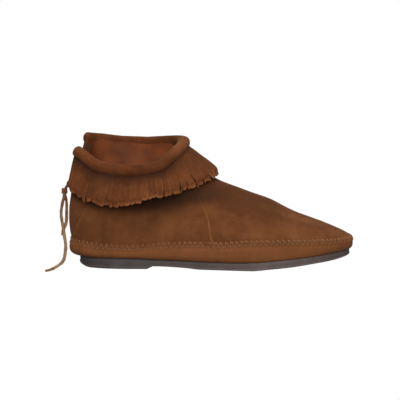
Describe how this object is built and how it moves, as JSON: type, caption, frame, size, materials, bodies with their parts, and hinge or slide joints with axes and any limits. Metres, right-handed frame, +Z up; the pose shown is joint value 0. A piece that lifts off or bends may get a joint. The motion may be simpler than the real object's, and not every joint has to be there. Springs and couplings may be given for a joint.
{
  "type": "moccasin boot",
  "caption": "Low suede moccasin ankle boot for the right foot: rolled collar with a cut fringe, stitched band over a low rubber sole, heel zip with a leather thong.",
  "frame": {"origin": "middle of the heel's rest face, on the floor", "axes": "+X from heel to toe, +Y to the inner side of the right foot, +Z up"},
  "size_m": [0.2782, 0.1043, 0.1212],
  "materials": {
    "suede": "brushed brown suede",
    "rubber": "matt dark grey-brown moulded rubber",
    "sock": "smooth tan sock",
    "thong": "tan leather thong",
    "zip_tape": "dark brown woven tape",
    "zip_metal": "antique dark metal"
  },
  "bodies": {
    "root": {"outsole": "rubber", "moccasin_tray": "suede", "insole": "sock", "upper": "suede", "rolled_collar": "suede", "fringe_band": "suede", "zip_tape_near": "zip_tape", "zip_tape_far": "zip_tape", "zip_slider": "zip_metal", "thong_loop": "thong", "thong_knot": "thong", "thong_tail_long": "thong", "thong_tail_short": "thong"}
  },
  "joints": []
}
